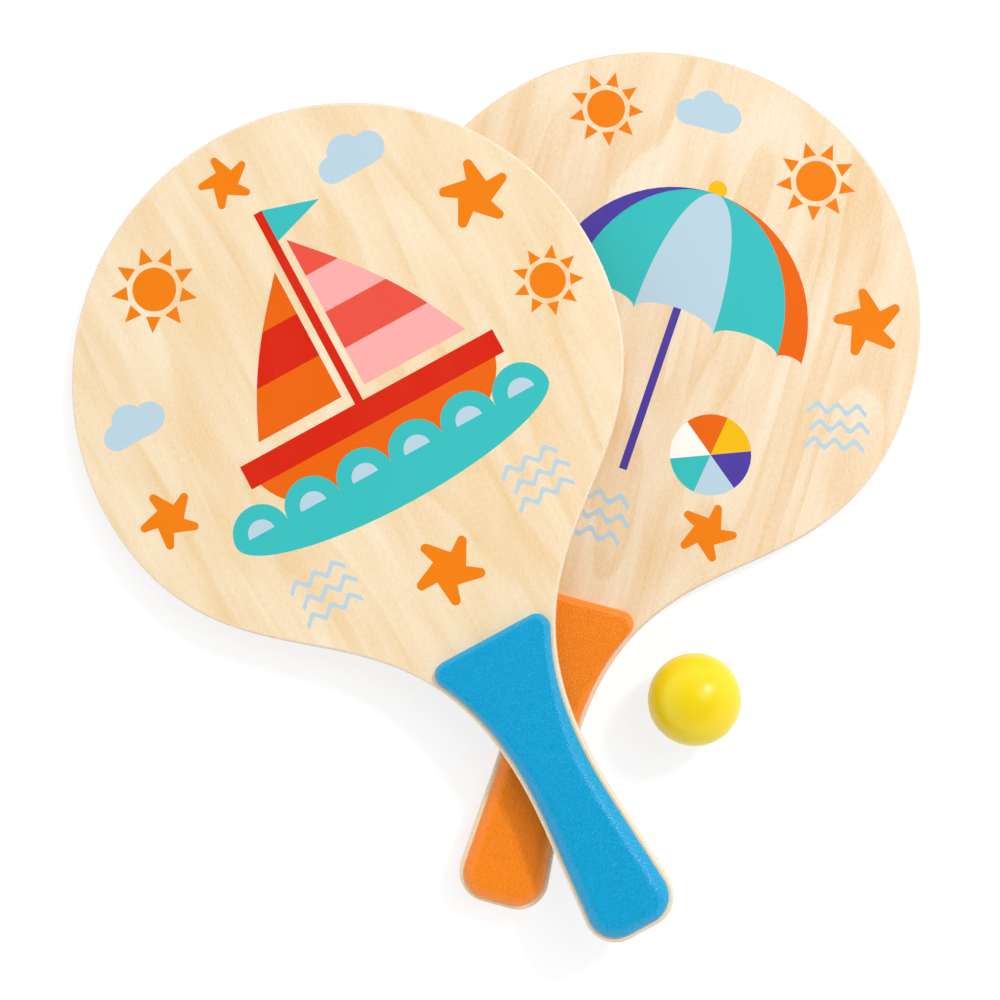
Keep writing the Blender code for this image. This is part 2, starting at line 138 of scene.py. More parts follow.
def handle_corner(side_rim, end_rim, radius):
    """Rounded corner at the handle's end, set in from the board's side and end by the two rims."""
    y = HANDLE_END_Y + end_rim + radius
    x = WAIST_WIDTH / 2 + (WAIST_Y - y) * math.tan(FLARE) - (side_rim + radius) / math.cos(FLARE)
    return arc((x, y), radius, FLARE, -math.pi / 2, CORNER_STEPS)


def closed(half):
    """Whole outline, counterclockwise, from its right half listed from the top to the bottom."""
    left = half[half[:, 0] > WELD] * [-1, 1]
    return np.vstack([half[::-1], left])


def board_outline():
    blade = arc((0, 0), BLADE_RADIUS, math.pi / 2, -SHOULDER_ANGLE, BLADE_STEPS)
    blade[0, 0] = 0.0
    side = side_curve(SIDE_STEPS)[0]
    return closed(np.vstack([blade, side[1:], handle_corner(0, 0, HANDLE_CORNER_RADIUS)]))


def linear(hex_colour):
    """Linear red, green, blue and alpha of an sRGB hex colour."""
    channels = [int(hex_colour[i:i + 2], 16) / 255 for i in (1, 3, 5)]
    return [c / 12.92 if c <= 0.04045 else ((c + 0.055) / 1.055) ** 2.4 for c in channels] + [1.0]


def node(tree, kind, inputs=(), **settings):
    """Adds a node. An input that is given a socket is linked to it, and any other is set.

    Inputs that share a name go by their number: in a Mix node 2 and 3 are its two values, 6 and 7 its two
    colours.
    """
    made = tree.nodes.new(kind)
    for name, value in settings.items():
        setattr(made, name, value)
    for name, value in dict(inputs).items():
        if isinstance(value, bpy.types.NodeSocket):
            tree.links.new(value, made.inputs[name])
        else:
            made.inputs[name].default_value = value
    return made


def new_material(name):
    """Empty material with its shader: (material, its nodes, the shader)."""
    made = bpy.data.materials.new(name)
    made.use_nodes = True
    tree = made.node_tree
    return made, tree, tree.nodes["Principled BSDF"]


MILLIMETRE = 0.001


def in_millimetres(tree, lay):
    """Coordinates in a paddle's own frame, in millimetres."""
    place = node(tree, "ShaderNodeTexCoord").outputs["Object"]
    return node(tree, "ShaderNodeMapping", {
        "Vector": place, "Location": lay.to_translation(), "Rotation": lay.to_euler(),
        "Scale": [MILLIMETRE] * 3}, vector_type="TEXTURE").outputs["Vector"]


# Rotary-cut veneer is peeled off the log nearly along its rings. That spreads each ring into broad wavy
# bands and cathedral shapes along the paddle, under fine fibres about a third of a millimetre wide. The
# fibres are drawn nearly twice as wide, so that they show.

# Width across and length along the grain in mm, fineness, and weight in the tone
FIBRES = ((0.6, 2.2, 2.0, 0.75), (1.6, 40.0, 2.0, 0.30), (7.0, 40.0, 1.0, 0.50), (26.0, 80.0, 1.0, 0.65))

# Width and length in mm of the waves that the rings run in
RING_WIDTH = 34.0
RING_LENGTH = 200.0

# From one ring to the next the wood darkens slowly and then falls back at once
RING_DARKENS_FROM = 0.3
RING_DARKEST_AT = 0.9


def along_grain(tree, own, width, length, shift, look):
    """Noise drawn out along the grain, of a width and a length in mm."""
    laid = node(tree, "ShaderNodeMapping", {
        "Vector": own, "Location": (shift, shift, 0), "Scale": (1 / width, 1 / length, 1 / width)})
    look = {"Vector": laid.outputs["Vector"], "Scale": 1.0, **look}
    return node(tree, "ShaderNodeTexNoise", look).outputs["Fac"]


def veneer_pattern(name, lay, rings, ring_weight, shift):
    """Node group with the tone of the veneer, 0 pale to 1 dark, and the height of its fibres."""
    tree = bpy.data.node_groups.new(name, "ShaderNodeTree")
    for output in ("Tone", "Fibre"):
        tree.interface.new_socket(output, in_out="OUTPUT", socket_type="NodeSocketFloat")
    own = in_millimetres(tree, lay)
    tone = 0.5 - sum(weight for *_, weight in FIBRES) / 2
    heights = []
    for width, length, detail, weight in FIBRES:
        look = {"Detail": detail, "Roughness": 0.6}
        heights.append(along_grain(tree, own, width, length, shift, look))
        tone = node(tree, "ShaderNodeMath", {0: heights[-1], 1: weight, 2: tone},
                    operation="MULTIPLY_ADD").outputs[0]
    look = {"Detail": 2.0, "Roughness": 0.3, "Distortion": 0.3}
    ring = along_grain(tree, own, RING_WIDTH, RING_LENGTH, shift, look)
    ring = node(tree, "ShaderNodeMath", {0: ring, 1: rings}, operation="MULTIPLY").outputs[0]
    ring = node(tree, "ShaderNodeMath", {0: ring}, operation="FRACT").outputs[0]
    sides = [node(tree, "ShaderNodeMapRange", {
        "Value": ring, "From Min": pale_at, "From Max": RING_DARKEST_AT}, interpolation_type="SMOOTHSTEP")
        for pale_at in (RING_DARKENS_FROM, 1.0)]
    band = node(tree, "ShaderNodeMath", {0: sides[0].outputs[0], 1: sides[1].outputs[0]},
                operation="MULTIPLY").outputs[0]
    tone = node(tree, "ShaderNodeMath", {0: band, 1: ring_weight, 2: tone},
                operation="MULTIPLY_ADD").outputs[0]
    out = node(tree, "NodeGroupOutput")
    tree.links.new(tone, out.inputs["Tone"])
    tree.links.new(heights[0], out.inputs["Fibre"])
    return tree


def wood(name, pattern, pale, dark):
    """Birch veneer under clear matt lacquer: a soft even sheen, the fibres just felt."""
    made, tree, shader = new_material(name)
    grain = node(tree, "ShaderNodeGroup", node_tree=pattern)
    colour = node(tree, "ShaderNodeMix", {0: grain.outputs["Tone"], 6: linear(pale), 7: linear(dark)},
                  data_type="RGBA")
    tree.links.new(colour.outputs[2], shader.inputs["Base Color"])
    gloss = node(tree, "ShaderNodeMapRange", {
        "Value": grain.outputs["Fibre"], "To Min": 0.48, "To Max": 0.60})
    tree.links.new(gloss.outputs[0], shader.inputs["Roughness"])
    relief = node(tree, "ShaderNodeBump", {
        "Height": grain.outputs["Fibre"], "Strength": 0.5, "Distance": 0.05 * MILLIMETRE})
    tree.links.new(relief.outputs["Normal"], shader.inputs["Normal"])
    shader.inputs["Specular IOR Level"].default_value = 0.3
    return made


# Colour of the wood as it shows through a film of ink, and how much more of it shows where it is dark
WOOD_UNDER_INK = "#E9D3AC"
GRAIN_SHOWS = 0.02


def ink(name, pattern, colour, cover):
    """Screen ink on the veneer: a flat opaque film, or a thinner one that lets the wood through."""
    made, tree, shader = new_material(name)
    grain = node(tree, "ShaderNodeGroup", node_tree=pattern)
    film = node(tree, "ShaderNodeMapRange", {
        "Value": grain.outputs["Tone"], "To Min": cover, "To Max": cover - GRAIN_SHOWS})
    mixed = node(tree, "ShaderNodeMix", {
        0: film.outputs[0], 6: linear(WOOD_UNDER_INK), 7: linear(colour)}, data_type="RGBA")
    tree.links.new(mixed.outputs[2], shader.inputs["Base Color"])
    relief = node(tree, "ShaderNodeBump", {
        "Height": grain.outputs["Fibre"], "Strength": 0.3, "Distance": 0.03 * MILLIMETRE})
    tree.links.new(relief.outputs["Normal"], shader.inputs["Normal"])
    shader.inputs["Roughness"].default_value = 0.5
    shader.inputs["Specular IOR Level"].default_value = 0.08
    return made


# Distance of the glue lines from the middle of the board, and half their width, in mm
GLUE_LINES = (0.6, 1.8)
GLUE_LINE_REACH = 0.07

# Weight of the end grain and of a glue line in the tone of the edge, and what is then taken off it so that
# it stays between 0 and 1
END_GRAIN_WEIGHT = 0.7
GLUE_WEIGHT = 0.5
EDGE_TONE_SHIFT = 0.35

# Specks to a millimetre of the sanded edge, across, along and through the board
EDGE_SPECKS = (1.2, 1.2, 5.0)


def plywood_edge(name, lay, pale, dark):
    """Sanded edge of the board: five plies, darker where their fibres end, thin glue lines between."""
    made, tree, shader = new_material(name)
    own = in_millimetres(tree, lay)
    depth = node(tree, "ShaderNodeSeparateXYZ", {0: own}).outputs["Z"]
    depth = node(tree, "ShaderNodeMath", {0: depth}, operation="ABSOLUTE").outputs[0]
    inner = node(tree, "ShaderNodeMath", {0: depth, 1: GLUE_LINES[0]}, operation="GREATER_THAN").outputs[0]
    outer = node(tree, "ShaderNodeMath", {0: depth, 1: GLUE_LINES[1]}, operation="LESS_THAN").outputs[0]
    cross_ply = node(tree, "ShaderNodeMath", {0: inner, 1: outer}, operation="MULTIPLY").outputs[0]
    normal = node(tree, "ShaderNodeNewGeometry").outputs["Normal"]
    lengthways = node(tree, "ShaderNodeVectorMath", {0: normal, 1: lay.col[1].to_3d()},
                      operation="DOT_PRODUCT").outputs["Value"]
    ends = node(tree, "ShaderNodeMath", {0: lengthways, 1: 2.0}, operation="POWER").outputs[0]
    swapped = node(tree, "ShaderNodeMath", {0: 1.0, 1: ends}, operation="SUBTRACT").outputs[0]
    end_grain = node(tree, "ShaderNodeMix", {0: cross_ply, 2: ends, 3: swapped}).outputs[0]
    speck = node(tree, "ShaderNodeMapping", {"Vector": own, "Scale": EDGE_SPECKS}).outputs[0]
    speck = node(tree, "ShaderNodeTexNoise", {"Vector": speck, "Scale": 1.0, "Detail": 3.0}).outputs["Fac"]
    tone = node(tree, "ShaderNodeMath", {0: end_grain, 1: END_GRAIN_WEIGHT, 2: speck},
                operation="MULTIPLY_ADD").outputs[0]
    tone = node(tree, "ShaderNodeMath", {0: tone, 1: EDGE_TONE_SHIFT}, operation="SUBTRACT").outputs[0]
    for joint in GLUE_LINES:
        line = node(tree, "ShaderNodeMath", {0: depth, 1: joint, 2: GLUE_LINE_REACH},
                    operation="COMPARE").outputs[0]
        tone = node(tree, "ShaderNodeMath", {0: line, 1: GLUE_WEIGHT, 2: tone},
                    operation="MULTIPLY_ADD").outputs[0]
    colour = node(tree, "ShaderNodeMix", {0: tone, 6: linear(pale), 7: linear(dark)}, data_type="RGBA")
    tree.links.new(colour.outputs[2], shader.inputs["Base Color"])
    relief = node(tree, "ShaderNodeBump", {"Height": speck, "Strength": 0.5, "Distance": 0.06 * MILLIMETRE})
    tree.links.new(relief.outputs["Normal"], shader.inputs["Normal"])
    shader.inputs["Roughness"].default_value = 0.6
    shader.inputs["Specular IOR Level"].default_value = 0.3
    return made


# Prints
# Screen-printed in flat inks on the face of each board, in shares of the blade's radius: each field is an
# ink and an outline, and a later field covers an earlier one.

# Colour of each ink, and the share of the wood that its film hides
INKS = {
    "turquoise": ("#33BDBD", 1.0),
    "red": ("#D61E04", 1.0),
    "coral": ("#E95041", 1.0),
    "pink": ("#F9ABA8", 1.0),
    "deep_orange": ("#E96300", 1.0),
    "orange": ("#EF7E00", 1.0),
    "pale_blue": ("#B2D1E3", 0.92),
    "purple": ("#4B3BA0", 1.0),
    "yellow": ("#F4BB06", 1.0),
    "white": ("#FAF7F0", 1.0),
}


def placed(shape, at, size=1.0, turn=0.0):
    """Copy of a shape, sized, turned by degrees and moved."""
    angle = math.radians(turn)
    spin = np.array([[math.cos(angle), math.sin(angle)], [-math.sin(angle), math.cos(angle)]])
    return np.asarray(at) + size * (np.asarray(shape) @ spin)


def curve(start, stop, step=6):
    """Points on the unit circle between two angles in degrees."""
    return arc((0, 0), 1, math.radians(start), math.radians(stop), round(abs(stop - start) / step))


def disc():
    return curve(0, 360)[:-1]


def box(left, bottom, right, top):
    return np.array([(left, bottom), (right, bottom), (right, top), (left, top)])


def starfish():
    """Five arms with round tips, broad where they meet."""
    arm = [(0.28, -0.39)] + [(0.86 + 0.14 * x, 0.14 * y) for x, y in curve(-70, 70, 10)]
    return np.vstack([placed(arm, (0, 0), 1, 90 + 72 * i) for i in range(5)])


def wave():
    """Wavy band three crests long."""
    half_width = 0.09
    along = np.linspace(-1, 1, 64)
    swell = 0.13 * np.cos(3 * math.pi * along)
    lower = np.column_stack([along, swell - half_width])
    upper = np.column_stack([along, swell + half_width])
    return np.vstack([lower, upper[::-1]])


def little_sun(at, size, turn):
    ray = [(0.62, -0.17), (1.0, 0), (0.62, 0.17)]
    shapes = [placed(disc(), (0, 0), 0.5)] + [placed(ray, (0, 0), 1, 40 * i) for i in range(9)]
    return [("orange", placed(shape, at, size, turn)) for shape in shapes]


def little_starfish(at, size, turn):
    return [("orange", placed(starfish(), at, size, turn))]


def little_waves(at, size, turn):
    rows = [placed(wave(), (0.12 * (i % 2), 0.5 * (i - 1)), 0.85) for i in range(3)]
    return [("pale_blue", placed(row, at, size, turn)) for row in rows]


def little_cloud(at, size, turn):
    puffs = ((-0.58, -0.08, 0.34), (-0.12, 0.16, 0.44), (0.42, 0.0, 0.40))
    shapes = [placed(disc(), (x, y), radius) for x, y, radius in puffs]
    shapes.append(box(-0.60, -0.41, 0.44, 0.05))
    return [("pale_blue", placed(shape, at, size, turn)) for shape in shapes]


def striped_sail(tack, clew, head, inks):
    """Sail cut into level stripes from its foot up, full along the edge away from the mast."""
    tack, clew, head = (np.asarray(corner) for corner in (tack, clew, head))
    fullness = 0.10
    steps = 8
    fields = []
    for i, colour in enumerate(inks):
        shares = np.linspace(i, i + 1, steps + 1) / len(inks)
        mast_side = [tack + share * (head - tack) for share in shares[::steps]]
        bellies = [fullness * math.sin(math.pi * share) * (clew - tack) for share in shares]
        free_side = [clew + share * (head - clew) + out for share, out in zip(shares, bellies)]
        fields.append((colour, np.array([mast_side[0]] + free_side + mast_side[1:])))
    return fields


def sailing_boat():
    """Boat with two striped sails behind a row of scalloped waves."""
    fields = [("deep_orange", curve(180, 360) * [0.53, 0.32] + [0.03, -0.19])]
    fields.append(("red", box(-0.53, -0.25, 0.59, -0.15)))
    fields.append(("red", box(-0.018, -0.15, 0.018, 0.70)))
    fields.append(("turquoise", [(0.018, 0.56), (0.24, 0.63), (0.018, 0.70)]))
    fields += striped_sail((0.05, -0.10), (0.50, -0.10), (0.05, 0.55), ("pink", "coral", "pink", "coral"))
    fields += striped_sail((-0.05, -0.10), (-0.42, -0.10), (-0.05, 0.46),
                           ("deep_orange", "red", "deep_orange"))
    fields.append(("turquoise", curve(180, 360) * [0.69, 0.17] + [0, -0.42]))
    crests = [(0.23 * i, -0.42) for i in (-2.5, -1.5, -0.5, 0.5, 1.5, 2.5)]
    fields += [("turquoise", placed(curve(0, 180, 9), crest, 0.115)) for crest in crests]
    fields += [("pale_blue", placed(curve(0, 180, 9), crest, 0.055)) for crest in crests]
    return [(colour, placed(shape, (0, 0.04), 0.92)) for colour, shape in fields]


def gore(left, right):
    """Panel of a domed sunshade between two seams, with a hem that arches up between them."""
    seam = curve(0, 90, 5)
    half_width = (right - left) / 2
    hem = curve(180, 0, 10)[1:-1] * [half_width, 0.35 * half_width] + [(left + right) / 2, 0]
    return np.vstack([seam * [right, 1], seam[-2::-1] * [left, 1], hem])


def parasol():
    """Open sunshade with five gores on a straight pole."""
    inks = ("purple", "turquoise", "pale_blue", "turquoise", "deep_orange")
    fields = [("purple", box(-0.03, -1.15, 0.03, 0.5)), ("yellow", placed(disc(), (0, 1.03), 0.07))]
    edges = np.cos(np.linspace(math.pi, 0, len(inks) + 1))
    fields += [(colour, gore(left, right)) for colour, left, right in zip(inks, edges, edges[1:])]
    return [(colour, placed(shape, (0.08, 0.02), 0.50, -4)) for colour, shape in fields]


def beach_ball(at, size):
    """Small round ball in six slices."""
    inks = ("yellow", "deep_orange", "white", "turquoise", "pale_blue", "purple")
    turn = 20
    slices = [np.vstack([[(0, 0)], curve(60 * i, 60 * i + 60)]) for i in range(len(inks))]
    return [(colour, placed(part, at, size, turn)) for colour, part in zip(inks, slices)]


PRINTS = {
    "blue_paddle":
        sailing_boat() + little_sun((-0.46, 0.62), 0.16, 0) + little_starfish((-0.05, 0.84), 0.10, 0)
        + little_cloud((0.40, 0.70), 0.15, 0) + little_starfish((0.72, 0.36), 0.13, -15)
        + little_sun((0.80, -0.04), 0.13, 15) + little_waves((0.43, -0.64), 0.13, 0)
        + little_starfish((0.0, -0.78), 0.13, 20) + little_waves((-0.43, -0.64), 0.13, 0)
        + little_starfish((-0.80, -0.14), 0.11, 10) + little_cloud((-0.75, 0.22), 0.14, 0),
    "orange_paddle":
        parasol() + beach_ball((0.34, -0.42), 0.15) + little_sun((-0.36, 0.72), 0.14, 10)
        + little_cloud((0.02, 0.80), 0.14, 0) + little_sun((0.46, 0.66), 0.15, 0)
        + little_starfish((0.78, 0.20), 0.13, 25) + little_waves((0.76, -0.20), 0.13, 10)
        + little_starfish((0.40, -0.70), 0.11, -10) + little_waves((-0.02, -0.74), 0.14, 0)
        + little_starfish((-0.60, -0.42), 0.13, 10) + little_cloud((-0.72, 0.24), 0.15, 0),
}


def counterclockwise(shape):
    points = np.asarray(shape)
    following = np.roll(points, -1, axis=0)
    swept = np.sum(points[:, 0] * following[:, 1] - following[:, 0] * points[:, 1])
    return points if swept > 0 else points[::-1]


def lay_print(mesh, face, fields):
    """Puts the flat face back as one sheet cut along the printed fields. No operator cuts outlines in."""
    rim = list(face.verts)
    height = rim[0].co.z
    coords = [Vector((v.co.x, v.co.y)) for v in rim]
    mesh.faces.remove(face)
    loops = [list(range(len(rim)))]
    for _, shape in fields:
        loops.append(list(range(len(coords), len(coords) + len(shape))))
        coords += [BLADE_RADIUS * Vector(point) for point in counterclockwise(shape)]
    flat, _, cut, _, _, covered = delaunay_2d_cdt(coords, [], loops, 1, WELD)
    made = [mesh.verts.new((v.x, v.y, height)) for v in flat]
    for corners, over in zip(cut, covered):
        piece = mesh.faces.new([made[c] for c in corners])
        piece.material_index = fields[max(over) - 1][0] if max(over) > 0 else 0
    bmesh.ops.remove_doubles(mesh, verts=mesh.verts[:], dist=WELD)


def cut_to_size(mesh, paddle):
    size = SIZES[paddle]
    bmesh.ops.scale(mesh, vec=(size, size, 1), verts=mesh.verts[:])


def shown(name, mesh, lay, materials, *replaced):
    """Lays a finished mesh in its place and makes it the piece that stands for CAD nodes."""
    bmesh.ops.transform(mesh, matrix=lay, verts=mesh.verts[:])
    data = bpy.data.meshes.new(name)
    mesh.to_mesh(data)
    mesh.free()
    for one in materials:
        data.materials.append(one)
    piece = bpy.data.objects.new(name, data)
    bpy.context.scene.collection.objects.link(piece)
    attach(piece, "root")
    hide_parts(*replaced)
    return piece


def board(paddle, face_wood, edge_wood, pattern):
    printed = PRINTS[paddle]
    used = sorted({colour for colour, _ in printed})
    mesh = bmesh.new()
    start = mesh.faces.new([mesh.verts.new((x, y, -BOARD_THICKNESS / 2)) for x, y in board_outline()])
    raised = bmesh.ops.extrude_face_region(mesh, geom=[start])["geom"]
    tops = [part for part in raised if isinstance(part, bmesh.types.BMVert)]
    bmesh.ops.translate(mesh, verts=tops, vec=(0, 0, BOARD_THICKNESS))
    rims = [edge for edge in mesh.edges if edge.verts[0].co.z == edge.verts[1].co.z]
    bmesh.ops.bevel(mesh, geom=rims, offset=EDGE_RADIUS, offset_type="OFFSET", segments=EDGE_SEGMENTS,
                    profile=0.5, affect="EDGES", material=-1)
    # Materials in their order: the wood of the faces, the wood of the edge, the inks
    for face in mesh.faces:
        face.smooth = True
        face.material_index = 1 if len(face.verts) == 4 else 0
    top = max(mesh.faces, key=lambda face: face.calc_center_median().z)
    lay_print(mesh, top, [(used.index(colour) + 2, shape) for colour, shape in printed])
    bmesh.ops.recalc_face_normals(mesh, faces=mesh.faces[:])
    cut_to_size(mesh, paddle)
    inks = [ink(f"{paddle}_{colour}_ink", pattern, *INKS[colour]) for colour in used]
    piece = shown(f"{paddle}_printed_board", mesh, PADDLES[paddle], [face_wood, edge_wood] + inks,
                  f"{paddle}_board")
    piece.modifiers.new("even_faces", "WEIGHTED_NORMAL").keep_sharp = True
    return piece


blue_veneer = veneer_pattern(
    "blue_paddle_veneer", PADDLES["blue_paddle"], rings=5.0, ring_weight=0.20, shift=0.0)
orange_veneer = veneer_pattern(
    "orange_paddle_veneer", PADDLES["orange_paddle"], rings=7.0, ring_weight=0.24, shift=40.0)
blue_board = board(
    "blue_paddle",
    wood("birch_veneer", blue_veneer, pale="#FAEED6", dark="#EBC78F"),
    plywood_edge("birch_plywood_edge", PADDLES["blue_paddle"], pale="#F7E6CE", dark="#CDA273"),
    blue_veneer)
orange_board = board(
    "orange_paddle",
    wood("warm_birch_veneer", orange_veneer, pale="#FBF0DC", dark="#E9C38E"),
    plywood_edge("warm_birch_plywood_edge", PADDLES["orange_paddle"], pale="#F4DFC2", dark="#C89C6C"),
    orange_veneer)


# Grips
# A soft pad on each face of both handles, pressed from closed-cell foam with a leather-like pebble skin and
# glued on. Its edge is pressed thin, swells quickly to a rounded shoulder and is nearly flat in the middle.

GRIP_TOP_Y = -0.1278
GRIP_SIDE_RIM = 0.0020
GRIP_END_RIM = 0.0016
GRIP_TOP_CORNER_RADIUS = 0.0060
GRIP_END_CORNER_RADIUS = 0.0122

# Insets of the rings that follow the edge, and the spacing of the cuts across the middle
GRIP_RINGS = (0.0001, 0.0002, 0.0004) + (0.0006,) * 6 + (0.0005, 0.0004)
GRIP_CUTS = 0.0010

# Steps of the fine side curve that the pad's side is picked from, and of its straight stretches
FINE_STEPS = 2000
TOP_STEPS = 19
FLARE_STEPS = 15
END_STEPS = 9

# Swell of the pad from its edge inwards: a thin wall, a rounded lip, a flank and a rounded shoulder
EDGE_WALL = 0.00025
LIP_SLOPE = 3.0
LIP_WIDTH = 0.00125
FLANK_SLOPE = 1.0
SHOULDER_FROM = 0.0010
SHOULDER_TO = 0.0070

# The swell is added up in fine steps, to beyond the middle of the pad
SWELL_REACH = 0.08
SWELL_STEPS = 1600

# Beside the blade the pad is thinner and its shoulder tighter, as a share of that along the handle
TIGHT_SHARE = 0.42
TIGHT_UNTIL_Y = -0.150
FULL_FROM_Y = -0.200
BLADE_END_HEIGHT = 0.0043
HANDLE_HEIGHT = 0.0052


def grip_outline():
    """Straight top edge, rounded top corners, a rim of wood along the sides, a rounded end."""
    fine, out = side_curve(FINE_STEPS)
    centres = fine - (GRIP_SIDE_RIM + GRIP_TOP_CORNER_RADIUS) * out
    centre_y = GRIP_TOP_Y - GRIP_TOP_CORNER_RADIUS
    met = int(np.argmin(np.abs(centres[:, 1] - centre_y)))
    turn_to = math.atan2(out[met, 1], out[met, 0])
    top = arc((centres[met, 0], centre_y), GRIP_TOP_CORNER_RADIUS, math.pi / 2, turn_to, CORNER_STEPS)
    across = np.linspace(0, top[0, 0], TOP_STEPS + 1)[:-1]
    straight = np.column_stack([across, np.full(len(across), GRIP_TOP_Y)])
    picked = np.linspace(met, FINE_STEPS, SIDE_STEPS).astype(int)[1:]
    side = fine[picked] - GRIP_SIDE_RIM * out[picked]
    waist, corner = side[-1], handle_corner(GRIP_SIDE_RIM, GRIP_END_RIM, GRIP_END_CORNER_RADIUS)
    flare = waist + np.linspace(0, 1, FLARE_STEPS + 1)[1:-1, None] * (corner[0] - waist)
    end_x = np.linspace(corner[-1, 0], 0, END_STEPS + 1)[1:]
    end = np.column_stack([end_x, np.full(len(end_x), corner[-1, 1])])
    return closed(np.vstack([straight, top, side, flare, corner, end]))


def distance_to(outline, points):
    """Distance from each point to the nearest place on a closed outline."""
    following = np.roll(outline, -1, axis=0) - outline
    away = points[:, None] - outline
    share = np.clip((away * following).sum(-1) / (following ** 2).sum(-1), 0, 1)
    return np.linalg.norm(away - share[..., None] * following, axis=-1).min(axis=1)


def eased(share):
    """Share from 0 to 1 that starts and stops gently."""
    share = np.clip(share, 0, 1)
    return share * share * (3 - 2 * share)


def swell(distance, y):
    """Height of the pad over the board at a distance from its edge and a place along it."""
    steps = np.linspace(0, SWELL_REACH, SWELL_STEPS + 1)
    slope = FLANK_SLOPE * (1 - eased((steps - SHOULDER_FROM) / (SHOULDER_TO - SHOULDER_FROM)))
    slope += LIP_SLOPE * np.clip(1 - steps / LIP_WIDTH, 0, 1) ** 2
    rises = (slope[1:] + slope[:-1]) / 2 * np.diff(steps)
    heights = EDGE_WALL + np.concatenate([[0], np.cumsum(rises)])
    fullness = eased((y - TIGHT_UNTIL_Y) / (FULL_FROM_Y - TIGHT_UNTIL_Y))
    drawn_out = TIGHT_SHARE + (1 - TIGHT_SHARE) * fullness
    full_height = BLADE_END_HEIGHT + (HANDLE_HEIGHT - BLADE_END_HEIGHT) * fullness
    return full_height * np.interp(distance / drawn_out, steps, heights / heights[-1])


def pad(turned_over):
    """One grip on the upper or the lower face of a board, in the paddle's own frame."""
    outline = grip_outline()
    mesh = bmesh.new()
    start = mesh.faces.new([mesh.verts.new((x, y, 0)) for x, y in outline])
    raised = bmesh.ops.extrude_face_region(mesh, geom=[start])["geom"]
    tops = [part for part in raised if isinstance(part, bmesh.types.BMVert)]
    bmesh.ops.translate(mesh, verts=tops, vec=(0, 0, EDGE_WALL))
    top = max(mesh.faces, key=lambda face: face.calc_center_median().z)
    for inset in GRIP_RINGS:
        bmesh.ops.inset_region(mesh, faces=[top], thickness=inset, use_even_offset=True)
    inside = [top, *top.edges, *top.verts]
    low, high = outline.min(axis=0), outline.max(axis=0)
    for axis, way in enumerate((Vector((1, 0, 0)), Vector((0, 1, 0)))):
        for at in np.arange(low[axis], high[axis], GRIP_CUTS)[1:]:
            cut = bmesh.ops.bisect_plane(mesh, geom=inside, plane_co=at * way, plane_no=way, dist=WELD)
            inside = cut["geom"]
    upper = [vert for vert in mesh.verts if vert.co.z > EDGE_WALL / 2]
    spots = np.array([vert.co.xy for vert in upper])
    heights = swell(distance_to(outline, spots), spots[:, 1])
    for vert, height in zip(upper, heights):
        vert.co.z = height
    for face in mesh.faces:
        face.smooth = True
    bmesh.ops.triangulate(mesh, faces=[f for f in mesh.faces if len(f.verts) > 4])
    bmesh.ops.translate(mesh, verts=mesh.verts[:], vec=(0, 0, BOARD_THICKNESS / 2))
    if turned_over:
        half_turn = Matrix.Rotation(math.pi, 3, "Y")
        bmesh.ops.rotate(mesh, verts=mesh.verts[:], cent=(0, 0, 0), matrix=half_turn)
    bmesh.ops.recalc_face_normals(mesh, faces=mesh.faces[:])
    return mesh


# Width of the pebbles of the skin in mm, and the share of it that rounds down to the groove
PEBBLE = 1.25
PEBBLE_ROUNDING = 0.21

# How far the pebbles are pushed out of line, in mm, and how many such pushes lie on a millimetre
PEBBLE_DRIFT = 0.8
PEBBLE_DRIFT_SCALE = 0.55


def pebbled_foam(name, dome, groove_shade):
    """Foam pressed against a grained plate: low pebbles with a satin shine, matt grooves between, coloured
    darker as painted shade.
    """
    made, tree, shader = new_material(name)
    place = node(tree, "ShaderNodeTexCoord").outputs["Object"]
    own = node(tree, "ShaderNodeVectorMath", {0: place, 3: 1 / MILLIMETRE}, operation="SCALE").outputs[0]
    drift = node(tree, "ShaderNodeTexNoise", {
        "Vector": own, "Scale": PEBBLE_DRIFT_SCALE, "Detail": 1.0}).outputs["Color"]
    drift = node(tree, "ShaderNodeVectorMath", {0: drift, 1: [PEBBLE_DRIFT] * 3, 2: own},
                 operation="MULTIPLY_ADD").outputs[0]
    cells = node(tree, "ShaderNodeTexVoronoi", {"Vector": drift, "Scale": 1 / PEBBLE},
                 feature="DISTANCE_TO_EDGE").outputs["Distance"]
    rise = node(tree, "ShaderNodeMapRange", {"Value": cells, "From Max": PEBBLE_ROUNDING},
                interpolation_type="SMOOTHSTEP").outputs[0]
    # The grooves take a darker colour than the pebble tops: painted shade in the creases between the pebbles
    colour = node(tree, "ShaderNodeMix", {0: rise, 6: linear(groove_shade), 7: linear(dome)}, data_type="RGBA")
    tree.links.new(colour.outputs[2], shader.inputs["Base Color"])
    gloss = node(tree, "ShaderNodeMapRange", {"Value": rise, "To Min": 0.36, "To Max": 0.19}).outputs[0]
    tree.links.new(gloss, shader.inputs["Roughness"])
    relief = node(tree, "ShaderNodeBump", {"Height": rise, "Strength": 1.0, "Distance": 0.05 * MILLIMETRE})
    tree.links.new(relief.outputs["Normal"], shader.inputs["Normal"])
    shader.inputs["Specular IOR Level"].default_value = 0.32
    return made


# An edge of the pad sharper than this stays crisp
SHARP_FROM = math.radians(60)

# Colour of the pebble tops, and the darker colour of the grooves between them, which is painted shade
for colour, dome, groove_shade in (("blue", "#00A5D8", "#0093C4"), ("orange", "#FF8F17", "#F47D0D")):
    skin = pebbled_foam(f"{colour}_pebbled_foam", dome, groove_shade)
    for side in ("top", "bottom"):
        mesh = pad(side == "bottom")
        cut_to_size(mesh, f"{colour}_paddle")
        pad_piece = shown(f"{colour}_{side}_pad", mesh, PADDLES[f"{colour}_paddle"], [skin],
                          f"{colour}_paddle_{side}_grip")
        pad_piece.data.set_sharp_from_angle(angle=SHARP_FROM)


